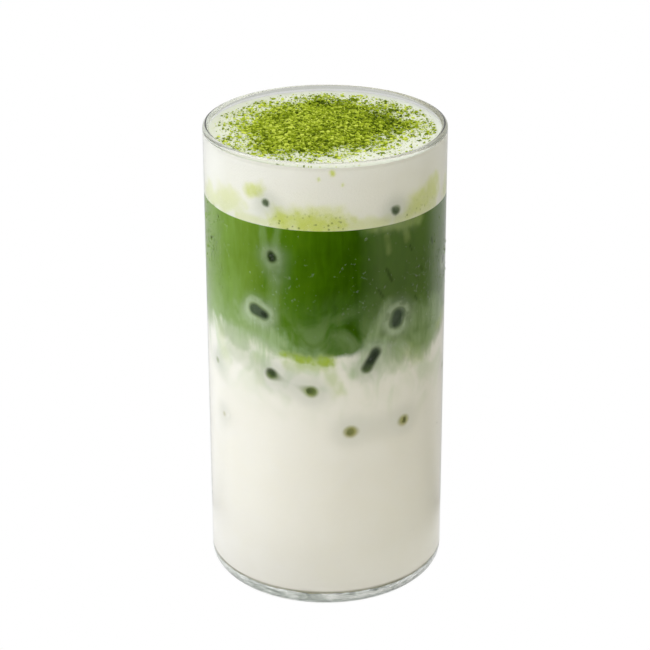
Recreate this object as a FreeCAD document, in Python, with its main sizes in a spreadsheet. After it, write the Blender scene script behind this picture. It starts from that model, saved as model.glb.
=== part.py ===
"""Iced matcha latte in a straight clear tumbler: a parametric FreeCAD document, in millimetres.

The row frame has +Z up and its origin at the middle of the tumbler's foot. The front is -Y.

Five sub-parts, from the outside in and from the bottom up:
  glass_tumbler  one piece of clear glass: straight wall, rounded heel, thick floor, shallow punt
  milk_layer     cold milk, from the glass floor up to the swirled boundary
  matcha_layer   whisked matcha, between that boundary and the foam's flat underside
  foam_layer     milk foam up to just under the rim, with a meniscus that climbs the wall
  powder_heap    low uneven heap of sifted matcha powder on the foam
"""

import FreeCAD
import Part
import math
import os

import Sketcher
from FreeCAD import Vector

# Driving sizes in millimetres, each written once: alias, value, meaning.
SIZES = (
    ("glass_diameter", 70.0, "outside of the straight wall"),
    ("glass_height", 140.0, "foot to rim"),
    ("wall_thickness", 1.8, "side wall"),
    ("floor_thickness", 3.6, "glass floor, from the foot's plane to the cavity"),
    ("heel_radius", 5.2, "outside corner between wall and foot"),
    ("cavity_radius", 4.4, "inside corner between wall and floor"),
    ("punt_diameter", 44.0, "hollow under the foot"),
    ("punt_depth", 0.8, "rise of that hollow at its middle"),
    ("foam_drop", 2.0, "rim down to the foam's surface"),
    ("foam_depth", 18.0, "foam's surface down to the matcha"),
    ("meniscus_height", 1.1, "foam's climb at the wall"),
    ("matcha_depth", 38.0, "foam's underside down to the boundary's mean level"),
    ("swirl_height", 3.2, "swell of the boundary at the wall, up or down"),
    ("heap_diameter", 40.0, "mean outline of the powder heap"),
    ("heap_height", 1.7, "powder heap's crown above the foam"),
    ("heap_lobe", 2.0, "swell of the heap's outline, in or out"),
)

RIM_ROUNDING = 0.48  # the rim's fillets, as a share of the wall: almost a full bullnose

# Waves round the boundary between milk and matcha: lobes per turn, share of swirl_height, phase in degrees.
SWIRL_WAVES = ((1, 0.45, 250.0), (2, 0.55, 60.0), (3, 0.30, 15.0), (5, 0.55, 75.0))
SWIRL_GRID = 25  # points each way on the boundary surface

# Waves round the heap's outline: lobes per turn, share of heap_lobe, phase in degrees.
HEAP_WAVES = ((2, 0.8, 10.0), (3, 0.5, 100.0), (5, 0.45, 40.0), (8, 0.3, 75.0))
HEAP_SIDES = 36  # points round each level of the heap
# The heap's levels: share of its outline, share of its height.
HEAP_LEVELS = ((1.0, 0.0), (0.93, 0.22), (0.80, 0.46), (0.62, 0.70), (0.40, 0.90), (0.16, 1.0))

NODES = ("glass_tumbler", "milk_layer", "matcha_layer", "foam_layer", "powder_heap")


def make_sheet(doc):
    """The spreadsheet of driving sizes. Every feature below is bound to its cells."""
    sheet = doc.addObject("Spreadsheet::Sheet", "Sizes")
    for row, (alias, value, meaning) in enumerate(SIZES, start=1):
        sheet.set(f"A{row}", meaning)
        sheet.set(f"B{row}", str(value))
        sheet.setAlias(f"B{row}", alias)
    doc.recompute()
    return sheet


def cell(*aliases):
    """The aliases as references for an expression."""
    found = tuple(f"Sizes.{alias}" for alias in aliases)
    return found[0] if len(found) == 1 else found


def origin_plane(body, role):
    """One of a body's own origin planes."""
    return next(item for item in body.Origin.OriginFeatures if item.Role == role)


def new_sketch(doc, body, name, role, lift=None):
    """A sketch on one of the body's own planes, lifted along that plane's normal by an expression."""
    sketch = body.newObject("Sketcher::SketchObject", name)
    sketch.AttachmentSupport = (origin_plane(body, role), [""])
    sketch.MapMode = "FlatFace"
    if lift:
        sketch.setExpression("AttachmentOffset.Base.z", lift)
    doc.recompute()
    return sketch


def add_circle(sketch, diameter):
    """A circle about the sketch's origin whose diameter is an expression."""
    circle = sketch.addGeometry(Part.Circle(Vector(0, 0, 0), Vector(0, 0, 1), 10.0), False)
    sketch.addConstraint(Sketcher.Constraint("Coincident", circle, 3, -1, 1))
    index = sketch.addConstraint(Sketcher.Constraint("Diameter", circle, 20.0))
    sketch.setExpression(f"Constraints[{index}]", diameter)


def ring_edge(feature, radius, height):
    """The name of the feature's full circular edge of that radius at that height."""
    for number, edge in enumerate(feature.Shape.Edges, start=1):
        curve = edge.Curve
        if not isinstance(curve, Part.Circle) or not edge.Closed:
            continue
        if abs(curve.Radius - radius) < 1e-4 and abs(curve.Center.z - height) < 1e-4:
            return f"Edge{number}"
    raise RuntimeError(f"{feature.Name} has no ring of radius {radius} at height {height}")


def round_ring(doc, body, name, base, ring, radius):
    """A fillet on one ring of the feature before it. The radius is an expression."""
    fillet = body.newObject("PartDesign::Fillet", name)
    fillet.Base = (base, [ring_edge(base, *ring)])
    fillet.setExpression("Radius", radius)
    doc.recompute()
    return fillet


def make_glass(doc, sheet):
    """The tumbler: a padded disc, bored from the rim, then rounded at heel, cavity corner and rim, then punted."""
    body = doc.addObject("PartDesign::Body", "GlassTumbler")
    height, drum, wall, floor = cell("glass_height", "glass_diameter", "wall_thickness", "floor_thickness")

    outline = new_sketch(doc, body, "GlassOutline", "XY_Plane")
    add_circle(outline, drum)
    blank = body.newObject("PartDesign::Pad", "GlassBlank")
    blank.Profile = outline
    blank.setExpression("Length", height)
    doc.recompute()

    bore = new_sketch(doc, body, "CavityOutline", "XY_Plane", lift=height)
    add_circle(bore, f"{drum} - 2 * {wall}")
    cavity = body.newObject("PartDesign::Pocket", "Cavity")
    cavity.Profile = bore
    cavity.setExpression("Length", f"{height} - {floor}")
    doc.recompute()
    if cavity.Shape.Volume >= blank.Shape.Volume:
        raise RuntimeError("the cavity cut nothing out of the glass")

    outer = sheet.glass_diameter / 2
    inner = outer - sheet.wall_thickness
    rim = sheet.glass_height
    rounding = f"{wall} * {RIM_ROUNDING}"
    step = round_ring(doc, body, "Heel", cavity, (outer, 0.0), cell("heel_radius"))
    step = round_ring(doc, body, "CavityCorner", step, (inner, sheet.floor_thickness), cell("cavity_radius"))
    step = round_ring(doc, body, "RimOutside", step, (outer, rim), rounding)
    step = round_ring(doc, body, "RimInside", step, (inner, rim), rounding)
    add_punt(doc, body, step)
    return body


def add_punt(doc, body, base):
    """The shallow domed hollow under the foot: an arc through the hollow's edge and its crown, turned about Z."""
    sketch = new_sketch(doc, body, "PuntSection", "XZ_Plane")
    edge, crown = cell("punt_diameter", "punt_depth")
    start, top = Vector(22, 0, 0), Vector(0, 1, 0)
    foot = sketch.addGeometry(Part.LineSegment(Vector(0, 0, 0), start), False)
    side = sketch.addGeometry(Part.LineSegment(top, Vector(0, 0, 0)), False)
    arc = sketch.addGeometry(Part.Arc(start, Vector(12, 0.7, 0), top), False)
    sketch.addConstraint(Sketcher.Constraint("Coincident", foot, 1, -1, 1))
    sketch.addConstraint(Sketcher.Constraint("Coincident", side, 2, -1, 1))
    sketch.addConstraint(Sketcher.Constraint("Coincident", foot, 2, arc, 1))
    sketch.addConstraint(Sketcher.Constraint("Coincident", side, 1, arc, 2))
    sketch.addConstraint(Sketcher.Constraint("Horizontal", foot))
    sketch.addConstraint(Sketcher.Constraint("PointOnObject", arc, 3, -2))
    sketch.addConstraint(Sketcher.Constraint("Vertical", side))
    reach = sketch.addConstraint(Sketcher.Constraint("DistanceX", foot, 1, foot, 2, 22.0))
    rise = sketch.addConstraint(Sketcher.Constraint("DistanceY", side, 2, side, 1, 1.0))
    sketch.setExpression(f"Constraints[{reach}]", f"{edge} / 2")
    sketch.setExpression(f"Constraints[{rise}]", crown)
    doc.recompute()
    punt = body.newObject("PartDesign::Groove", "Punt")
    punt.Profile = sketch
    punt.ReferenceAxis = (sketch, ["V_Axis"])
    punt.Angle = 360.0
    doc.recompute()
    if punt.Shape.Volume >= base.Shape.Volume:
        raise RuntimeError("the punt cut nothing out of the foot")


def make_fill(doc, sheet):
    """What fills the cavity up to the foam's underside, against the glass on every side: a padded disc with
    the cavity's own corner."""
    body = doc.addObject("PartDesign::Body", "DrinkFill")
    height, drum, wall, floor = cell("glass_height", "glass_diameter", "wall_thickness", "floor_thickness")
    drop, depth = cell("foam_drop", "foam_depth")
    outline = new_sketch(doc, body, "FillOutline", "XY_Plane", lift=floor)
    add_circle(outline, f"{drum} - 2 * {wall}")
    fill = body.newObject("PartDesign::Pad", "Fill")
    fill.Profile = outline
    fill.setExpression("Length", f"{height} - {floor} - {drop} - {depth}")
    doc.recompute()
    inner = sheet.glass_diameter / 2 - sheet.wall_thickness
    round_ring(doc, body, "FillCorner", fill, (inner, sheet.floor_thickness), cell("cavity_radius"))
    return body


def waves(turn, table):
    """The sum of a table's waves at a bearing in radians."""
    return sum(share * math.sin(lobes * turn + math.radians(phase)) for lobes, share, phase in table)


def boundary_height(x, y, sheet):
    """Height of the boundary between milk and matcha. The swell grows from nothing on the axis to
    swirl_height at the wall."""
    inner = sheet.glass_diameter / 2 - sheet.wall_thickness
    level = sheet.glass_height - sheet.foam_drop - sheet.foam_depth - sheet.matcha_depth
    reach = min(math.hypot(x, y) / inner, 1.0)
    swell = sheet.swirl_height * reach**2 * (3 - 2 * reach)
    return level + swell * waves(math.atan2(y, x), SWIRL_WAVES)


def make_boundary_tool(doc, sheet):
    """A block whose underside is the swirled boundary. It is wider than the cavity and taller than the matcha."""
    half = sheet.glass_diameter / 2
    spots = [half * (2 * i / (SWIRL_GRID - 1) - 1) for i in range(SWIRL_GRID)]
    grid = [[Vector(x, y, boundary_height(x, y, sheet)) for y in spots] for x in spots]
    surface = Part.BSplineSurface()
    surface.interpolate(grid)
    tool = doc.addObject("Part::Feature", "BoundaryTool")
    tool.Shape = surface.toShape().extrude(Vector(0, 0, 2 * sheet.matcha_depth))
    return tool


def make_drink(doc, fill, tool):
    """Milk below the boundary and matcha above it: one fill, cut in two by the same surface."""
    milk = doc.addObject("Part::Cut", "MilkLayer")
    milk.Base, milk.Tool = fill, tool
    matcha = doc.addObject("Part::Common", "MatchaLayer")
    matcha.Base, matcha.Tool = fill, tool
    doc.recompute()
    return milk, matcha


def make_foam(doc, sheet):
    """The foam: its half section turned about Z. A concave quarter-round carries the surface up the wall."""
    body = doc.addObject("PartDesign::Body", "FoamLayer")
    height, drum, wall = cell("glass_height", "glass_diameter", "wall_thickness")
    drop, depth, climb = cell("foam_drop", "foam_depth", "meniscus_height")
    sketch = new_sketch(doc, body, "FoamSection", "XZ_Plane")
    corners = [Vector(0, 10, 0), Vector(30, 10, 0), Vector(30, 21, 0), Vector(29, 20, 0), Vector(0, 20, 0)]
    bottom, side, shore, top, axis = range(5)
    sketch.addGeometry(Part.LineSegment(corners[0], corners[1]), False)
    sketch.addGeometry(Part.LineSegment(corners[1], corners[2]), False)
    quarter = Part.Circle(Vector(29, 21, 0), Vector(0, 0, 1), 1.0)
    sketch.addGeometry(Part.ArcOfCircle(quarter, 1.5 * math.pi, 2 * math.pi), False)
    sketch.addGeometry(Part.LineSegment(corners[3], corners[4]), False)
    sketch.addGeometry(Part.LineSegment(corners[4], corners[0]), False)
    joins = ((bottom, 2, side, 1), (side, 2, shore, 2), (shore, 1, top, 1), (top, 2, axis, 1), (axis, 2, bottom, 1))
    for first, end, second, start in joins:
        sketch.addConstraint(Sketcher.Constraint("Coincident", first, end, second, start))
    sketch.addConstraint(Sketcher.Constraint("PointOnObject", bottom, 1, -2))
    sketch.addConstraint(Sketcher.Constraint("Horizontal", bottom))
    sketch.addConstraint(Sketcher.Constraint("Vertical", side))
    sketch.addConstraint(Sketcher.Constraint("Horizontal", top))
    sketch.addConstraint(Sketcher.Constraint("Vertical", axis))
    sketch.addConstraint(Sketcher.Constraint("Vertical", shore, 3, shore, 1))
    sketch.addConstraint(Sketcher.Constraint("Horizontal", shore, 3, shore, 2))
    sized = (
        (Sketcher.Constraint("DistanceX", bottom, 1, bottom, 2, 30.0), f"{drum} / 2 - {wall}"),
        (Sketcher.Constraint("DistanceY", -1, 1, bottom, 1, 10.0), f"{height} - {drop} - {depth}"),
        (Sketcher.Constraint("DistanceY", axis, 2, axis, 1, 10.0), depth),
        (Sketcher.Constraint("Radius", shore, 1.0), climb),
    )
    for constraint, expression in sized:
        index = sketch.addConstraint(constraint)
        sketch.setExpression(f"Constraints[{index}]", expression)
    doc.recompute()
    turned = body.newObject("PartDesign::Revolution", "Foam")
    turned.Profile = sketch
    turned.ReferenceAxis = (sketch, ["V_Axis"])
    turned.Angle = 360.0
    doc.recompute()
    return body


def heap_ring(sheet, share, lift):
    """One closed level of the heap: its lobed outline at a share of its width, as a spline wire."""
    points = []
    for i in range(HEAP_SIDES):
        turn = 2 * math.pi * i / HEAP_SIDES
        radius = share * (sheet.heap_diameter / 2 + sheet.heap_lobe * waves(turn, HEAP_WAVES))
        points.append(Vector(radius * math.cos(turn), radius * math.sin(turn), lift))
    curve = Part.BSplineCurve()
    curve.interpolate(points, PeriodicFlag=True)
    return Part.Wire(curve.toShape())


def make_heap(doc, sheet):
    """The powder heap: a loft through lobed rings that shrink towards the crown, flat where it lies on the foam."""
    surface = sheet.glass_height - sheet.foam_drop
    rings = [heap_ring(sheet, share, surface + lift * sheet.heap_height) for share, lift in HEAP_LEVELS]
    heap = doc.addObject("Part::Feature", "PowderHeap")
    heap.Shape = Part.makeLoft(rings, True, False)
    return heap


def check(doc, parts):
    """Stops if any object failed to recompute, or if a sub-part isn't one valid closed solid."""
    for item in doc.Objects:
        if {"Invalid", "Error"} & set(item.State):
            raise RuntimeError(f"{item.Name} failed: {item.State}")
    for item in parts:
        shape = item.Shape
        if shape.isNull() or not shape.isValid() or len(shape.Solids) != 1 or shape.Volume <= 0:
            raise RuntimeError(f"{item.Label} is not one valid solid")


def main():
    doc = FreeCAD.newDocument("IcedMatchaLatte")
    sheet = make_sheet(doc)
    glass = make_glass(doc, sheet)
    fill = make_fill(doc, sheet)
    tool = make_boundary_tool(doc, sheet)
    milk, matcha = make_drink(doc, fill, tool)
    foam = make_foam(doc, sheet)
    heap = make_heap(doc, sheet)
    parts = (glass, milk, matcha, foam, heap)
    for item, node in zip(parts, NODES):
        item.Label = node
    doc.recompute()
    check(doc, parts)
    os.makedirs("parts", exist_ok=True)
    for item in parts:
        item.Shape.exportStep(os.path.join("parts", f"{item.Label}.step"))
        print(f"{item.Label:14s} {item.Shape.Volume / 1000:8.2f} ml  {item.Shape.BoundBox}")


main()
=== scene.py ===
"""Iced matcha latte in a straight clear tumbler: the looks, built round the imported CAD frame.

Metres, in the row's frame: +Z up and the front at -Y. A bearing is measured from the front in
degrees, positive to the right as seen from the front. Heights in the listed tables are in mm.
"""
import itertools
import math

import bmesh
import bpy
import numpy as np
from mathutils import Matrix, Vector


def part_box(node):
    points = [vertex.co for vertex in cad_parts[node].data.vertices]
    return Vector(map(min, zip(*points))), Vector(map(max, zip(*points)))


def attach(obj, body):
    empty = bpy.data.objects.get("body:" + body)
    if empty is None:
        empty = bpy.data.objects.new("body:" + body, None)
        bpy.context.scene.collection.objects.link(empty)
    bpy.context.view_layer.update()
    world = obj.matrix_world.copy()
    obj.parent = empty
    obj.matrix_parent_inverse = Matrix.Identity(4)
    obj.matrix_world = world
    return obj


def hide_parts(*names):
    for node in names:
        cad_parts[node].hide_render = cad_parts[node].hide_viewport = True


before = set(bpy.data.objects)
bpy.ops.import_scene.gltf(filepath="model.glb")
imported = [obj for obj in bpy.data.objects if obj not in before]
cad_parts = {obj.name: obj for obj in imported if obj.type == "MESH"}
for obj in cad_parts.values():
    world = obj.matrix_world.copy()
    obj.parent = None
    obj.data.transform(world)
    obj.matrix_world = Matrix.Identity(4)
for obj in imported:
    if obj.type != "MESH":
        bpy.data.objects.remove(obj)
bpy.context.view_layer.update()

MM = 0.001


# ---------------- sizes read from the frame
def corner(node, end, axis):
    """One coordinate of a CAD node's box: end 0 is the lowest corner and 1 the highest."""
    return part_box(node)[end][axis]


OUTER = min(corner("glass_tumbler", 1, 0), -corner("glass_tumbler", 0, 0))
RIM = corner("glass_tumbler", 1, 2)
INNER = corner("matcha_layer", 1, 0)
FLOOR = corner("milk_layer", 0, 2)
FOAM_BASE = corner("foam_layer", 0, 2)
FOAM_TOP = corner("powder_heap", 0, 2)
MENISCUS = corner("foam_layer", 1, 2) - FOAM_TOP
WALL = OUTER - INNER

# Roundings that a box doesn't show, as in the CAD model.
HEEL = 5.2 * MM
CAVITY_CORNER = 4.4 * MM
PUNT_RADIUS = 22.0 * MM
PUNT_RISE = 0.8 * MM
RIM_ROUND = 0.48 * WALL

SEAT = 0.2 * MM  # how far what fills the glass reaches into its wall
FILL = INNER + SEAT
TURNS = 360  # columns round the drink

# The boundary between milk and matcha, as in the CAD model: lobes, share and phase of each wave.
SWIRL_LEVEL = FOAM_BASE - 38.0 * MM
SWIRL_HEIGHT = 3.2 * MM
SWIRL_WAVES = ((1, 0.45, 250.0), (2, 0.55, 60.0), (3, 0.30, 15.0), (5, 0.55, 75.0))

# The powder heap's outline, as in the CAD model.
HEAP_RADIUS = 20.0 * MM
HEAP_LOBE = 2.0 * MM
HEAP_WAVES = ((2, 0.8, 10.0), (3, 0.5, 100.0), (5, 0.45, 40.0), (8, 0.3, 75.0))


# ---------------- meshes
SHARP = 35.0  # edges that turn more than this many degrees are shaded sharp


def new_object(name, vertices, faces, smooth=True):
    """A mesh object linked to the scene."""
    mesh = bpy.data.meshes.new(name)
    mesh.from_pydata(vertices.tolist(), [], faces.tolist() if isinstance(faces, np.ndarray) else faces)
    mesh.update()
    mesh.polygons.foreach_set("use_smooth", [smooth] * len(mesh.polygons))
    if smooth:
        mesh.set_sharp_from_angle(angle=math.radians(SHARP))
    piece = bpy.data.objects.new(name, mesh)
    bpy.context.scene.collection.objects.link(piece)
    return piece


def revolve(name, radius, height, turns=TURNS):
    """A closed skin of rings about Z from one pole to the other. The first and last rows are the poles.
    radius and height are rows, each one number or one number per column."""
    radius = np.stack([np.broadcast_to(row, turns) for row in radius])
    height = np.stack([np.broadcast_to(row, turns) for row in height])
    turn = np.linspace(0, 2 * math.pi, turns, endpoint=False)
    rings = np.stack([radius * np.cos(turn), radius * np.sin(turn), height], -1)
    poles = [[0.0, 0.0, height[0].mean()], [0.0, 0.0, height[-1].mean()]]
    vertices = np.concatenate([rings[1:-1].reshape(-1, 3), poles])
    rows = len(rings) - 2
    grid = np.arange(rows * turns).reshape(rows, turns)
    ahead = np.roll(grid, -1, axis=1)
    quads = np.stack([grid[:-1], ahead[:-1], ahead[1:], grid[1:]], -1).reshape(-1, 4)
    first, last = rows * turns, rows * turns + 1
    faces = quads.tolist()
    faces += [(first, b, a) for a, b in zip(grid[0].tolist(), ahead[0].tolist())]
    faces += [(last, a, b) for a, b in zip(grid[-1].tolist(), ahead[-1].tolist())]
    return new_object(name, vertices, faces)


def coordinates(piece):
    """The piece's vertices as an array."""
    places = np.empty(len(piece.data.vertices) * 3, np.float64)
    piece.data.vertices.foreach_get("co", places)
    return places.reshape(-1, 3)


def write_values(piece, name, values):
    """A number for each vertex, which the materials read by name."""
    layer = piece.data.attributes.new(name, "FLOAT", "POINT")
    layer.data.foreach_set("value", np.asarray(values, np.float32))


def sine_noise(places, size, seed, count=20):
    """A smooth random field, mostly between -1 and 1, with bumps of about that size."""
    draw = np.random.default_rng(seed)
    direction = draw.normal(size=(count, 3))
    direction /= np.linalg.norm(direction, axis=1, keepdims=True)
    pitch = 2 * math.pi / size * draw.uniform(0.6, 1.5, count)
    phase = draw.uniform(0, 2 * math.pi, count)
    return np.sin(places @ (direction * pitch[:, None]).T + phase).sum(-1) / math.sqrt(count)


def arc(centre, radius, start, end, steps):
    """Points (radius, height) on an arc, with angles in degrees."""
    angles = np.radians(np.linspace(start, end, steps))
    return [(centre[0] + radius * math.cos(a), centre[1] + radius * math.sin(a)) for a in angles]


def ring(radius, turns=TURNS):
    """x and y of one ring of columns."""
    turn = np.linspace(0, 2 * math.pi, turns, endpoint=False)
    return radius * np.cos(turn), radius * np.sin(turn)


def waves(turn, table):
    """The sum of a table's waves at a bearing in radians from +X."""
    return sum(share * np.sin(lobes * turn + math.radians(phase)) for lobes, share, phase in table)


# ---------------- the glass and what fills it
GLASS_TURNS = 240  # columns round the glass


def glass_profile():
    """The tumbler's half section, from the middle of the punt round the outside to the cavity floor."""
    dome = (PUNT_RADIUS**2 + PUNT_RISE**2) / (2 * PUNT_RISE)
    points = []
    for reach in np.linspace(0, PUNT_RADIUS, 30):
        points.append((reach, PUNT_RISE - dome + math.sqrt(dome**2 - reach**2)))
    points += arc((OUTER - HEEL, HEEL), HEEL, -90, 0, 24)
    points += [(OUTER, z) for z in np.linspace(HEEL, RIM - RIM_ROUND, 50)[1:-1]]
    points += arc((OUTER - RIM_ROUND, RIM - RIM_ROUND), RIM_ROUND, 0, 90, 9)
    points += arc((INNER + RIM_ROUND, RIM - RIM_ROUND), RIM_ROUND, 90, 180, 9)
    low = FLOOR + CAVITY_CORNER
    points += [(INNER, z) for z in np.linspace(RIM - RIM_ROUND, low, 50)[1:-1]]
    points += arc((INNER - CAVITY_CORNER, low), CAVITY_CORNER, 0, -90, 16)
    points += [(reach, FLOOR) for reach in np.linspace(INNER - CAVITY_CORNER, 0, 8)[1:]]
    return points


def make_glass():
    radius, height = zip(*glass_profile())
    piece = revolve("clear_tumbler", radius, height, turns=GLASS_TURNS)
    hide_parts("glass_tumbler")
    piece.data.materials.append(glass_material())
    return piece


def swirl(x, y):
    """Height of the boundary between milk and matcha, as in the CAD model."""
    reach = np.minimum(np.hypot(x, y) / INNER, 1.0)
    return SWIRL_LEVEL + SWIRL_HEIGHT * reach**2 * (3 - 2 * reach) * waves(np.arctan2(y, x), SWIRL_WAVES)


def make_milk():
    """The milk, from the glass floor up to the swirled boundary."""
    bottom = FLOOR - SEAT
    start = bottom + CAVITY_CORNER
    rows = [(reach, bottom) for reach in np.linspace(0, FILL - CAVITY_CORNER, 8)[:-1]]
    rows += arc((FILL - CAVITY_CORNER, start), CAVITY_CORNER, -90, 0, 12)
    top = swirl(*ring(FILL))
    rows += [(FILL, start + share * (top - start)) for share in np.linspace(0, 1, 150)[1:]]
    rows += [(reach, swirl(*ring(reach))) for reach in np.linspace(FILL, 0, 10)[1:]]
    piece = revolve("milk", *zip(*rows))
    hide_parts("milk_layer")
    piece.data.materials.append(drink_material("milk_and_swirls"))
    return piece


def make_matcha():
    """The matcha, from the swirled boundary up to the foam's flat underside."""
    low = swirl(*ring(FILL))
    rows = [(reach, swirl(*ring(reach))) for reach in np.linspace(0, FILL, 10)[:-1]]
    rows += [(FILL, low + share * (FOAM_BASE - low)) for share in np.linspace(0, 1, 90)]
    rows += [(reach, FOAM_BASE) for reach in np.linspace(FILL, 0, 8)[1:]]
    piece = revolve("matcha", *zip(*rows))
    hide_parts("matcha_layer")
    piece.data.materials.append(drink_material("matcha_and_swirls"))
    return piece


FOAM_CLIMB = 0.45 * MENISCUS  # how far the foam's surface rises at the wall
CLIMB_REACH = 1.3 * MM  # how far from the wall that rise dies away
FOAM_LOW = 0.15 * MM  # how far the uneven surface lies below the CAD model's flat one
SWELLS = ((0.12 * MM, 17 * MM, 3), (0.05 * MM, 5 * MM, 4))  # height, size and seed
CALM = 4 * MM  # the swells die away this near the wall
# Distances from the wall, in mm, of the closely spaced rings on the climb.
CLIMB_RINGS = (0.0, 0.12, 0.25, 0.4, 0.6, 0.8, 1.1, 1.5)


def foam_surface(x, y):
    """Height of the foam's surface: gently uneven, and it climbs the wall."""
    places = np.stack([x, y, np.zeros_like(x)], -1)
    uneven = sum(height * sine_noise(places, size, seed) for height, size, seed in SWELLS)
    from_wall = np.clip(INNER - np.hypot(x, y), 0, None)
    climb = FOAM_CLIMB * np.exp(-from_wall / CLIMB_REACH)
    calm = np.clip(from_wall / CALM, 0, 1)
    return FOAM_TOP - FOAM_LOW + uneven * calm + climb


def make_foam():
    """The milk foam, from its flat underside to its uneven surface."""
    rows = [(reach, FOAM_BASE) for reach in np.linspace(0, FILL, 8)[:-1]]
    shore = FOAM_TOP - FOAM_LOW + FOAM_CLIMB
    rows += [(FILL, z) for z in np.linspace(FOAM_BASE, shore, 44)]
    near = INNER - np.array(CLIMB_RINGS) * MM
    for reach in (*near, *np.linspace(INNER - 2 * MM, 0, 80)):
        rows.append((reach, foam_surface(*ring(reach))))
    piece = revolve("milk_foam", *zip(*rows))
    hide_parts("foam_layer")
    piece.data.materials.append(foam_material())
    return piece


# ---------------- ice sunk in the drink
ICE_REACH = 0.15 * MM  # how far a corner stands out of the drink, into the glass wall
ICE_STEPS = 13  # points along each edge of a face
WELD = 0.005 * MM  # points of neighbouring faces nearer than this are one

# Each cube lies with one edge at the wall. Its row gives that edge's two ends as bearing, height and
# how far they stay behind the wall, then the cube's two other sides, its lean and its corner radius.
ICE = (
    ((12, 58, 0.0), (41, 58, 0.05), (17, 16), 38, 6.5),
    ((-27, 75, 0.0), (-7, 71, 0.0), (15, 14), 52, 6.0),
    ((-26, 111, 0.0), (-20, 97, 4.0), (15, 15), 40, 3.4),
    ((-36, 94, -0.1), (-31, 93, 0.0), (16, 14), 45, 4.2),
    ((36, 90, -0.05), (37, 92, -0.05), (15, 15), 50, 6.0),
    ((20, 77.5, 0.0), (24.5, 82, 0.0), (14, 15), 60, 5.0),
    ((-66, 72, 0.2), (-52, 66, 4.0), (15, 15), 35, 3.6),
    ((-60, 56, 0.25), (-70, 45, 5.0), (13, 14), 45, 3.0),
    ((-29, 127, 0.0), (-14, 125, 3.0), (14, 12), 50, 2.8),
    ((35, 124, 0.0), (52, 121, 3.5), (14, 13), 40, 3.8),
    ((78, 101, 0.1), (91, 97, 3.0), (15, 15), 48, 3.4),
    ((103, 116, 3.0), (118, 107, 0.0), (16, 15), 42, 4.2),
    ((-112, 96, 0.0), (-99, 85, 2.5), (16, 16), 35, 4.0),
    ((140, 78, 0.0), (154, 68, 2.5), (16, 15), 50, 4.8),
    ((172, 112, 0.0), (-171, 103, 3.0), (15, 16), 40, 4.2),
    ((-140, 60, 0.0), (-150, 71, 2.5), (15, 15), 55, 4.6),
    ((82, 66, 0.1), (94, 58, 2.5), (15, 15), 38, 4.0),
    ((-170, 84, 0.0), (-176, 70, 3.0), (15, 15), 40, 2.6),
)


class Cube:
    """A melted ice cube with rounded edges, seated against the wall by one of them."""

    def __init__(self, start, end, depths, lean, rounding):
        self.rounding = rounding * MM
        first, second = self.seat(start), self.seat(end)
        along = (second - first).normalized()
        middle = (first + second) / 2
        inward = Vector((-middle.x, -middle.y, 0.0))
        inward = (inward - along * inward.dot(along)).normalized()
        side = along.cross(inward)
        lean = math.radians(lean)
        across = inward * math.sin(lean) + side * math.cos(lean)
        through = inward * math.cos(lean) - side * math.sin(lean)
        spans = ((second - first).length, *(depth * MM - 2 * self.rounding for depth in depths))
        self.half = np.array(spans) / 2
        self.centre = np.array(middle + across * self.half[1] + through * self.half[2])
        self.axes = np.array([along, across, through])

    def seat(self, contact):
        """Centre of the rounded corner behind a contact at the wall."""
        bearing, height, behind = contact
        radius = FILL + ICE_REACH - self.rounding - behind * MM
        angle = math.radians(bearing)
        return Vector((radius * math.sin(angle), -radius * math.cos(angle), height * MM))

    def distance(self, places):
        """Distance from each place to the cube's skin, negative inside."""
        beyond = np.abs((places - self.centre) @ self.axes.T) - self.half
        outside = np.linalg.norm(np.maximum(beyond, 0), axis=1)
        return outside + np.minimum(beyond.max(axis=1), 0) - self.rounding

    def skin(self, steps=ICE_STEPS):
        """Vertices and quads of the cube's rounded skin, as six grids that meet at its edges."""
        spread = np.sin(np.linspace(-1, 1, steps) * math.pi / 2)
        index = np.arange(steps * steps).reshape(steps, steps)
        quads = np.stack([index[:-1, :-1], index[:-1, 1:], index[1:, 1:], index[1:, :-1]], -1)
        quads = quads.reshape(-1, 4)
        vertices, faces = [], []
        for axis, sign in itertools.product(range(3), (-1, 1)):
            u, v = np.meshgrid(spread, spread * sign, indexing="ij")
            grid = np.empty((steps, steps, 3))
            grid[..., axis], grid[..., (axis + 1) % 3], grid[..., (axis + 2) % 3] = sign, u, v
            box = grid * (self.half + self.rounding)
            core = np.clip(box, -self.half, self.half)
            lean = box - core
            lean /= np.maximum(np.linalg.norm(lean, axis=-1, keepdims=True), 1e-12)
            vertices.append(((core + lean * self.rounding) @ self.axes + self.centre).reshape(-1, 3))
            faces.append(quads + len(faces) * steps * steps)
        return np.concatenate(vertices), np.concatenate(faces)


def make_ice(cubes):
    """All the cubes as one piece."""
    vertices, faces, count = [], [], 0
    for cube in cubes:
        places, quads = cube.skin()
        vertices.append(places)
        faces.append(quads + count)
        count += len(places)
    piece = new_object("ice_cubes", np.concatenate(vertices), np.concatenate(faces))
    mesh = bmesh.new()
    mesh.from_mesh(piece.data)
    bmesh.ops.remove_doubles(mesh, verts=mesh.verts, dist=WELD)
    mesh.to_mesh(piece.data)
    mesh.free()
    piece.data.materials.append(ice_material())
    return piece


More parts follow.
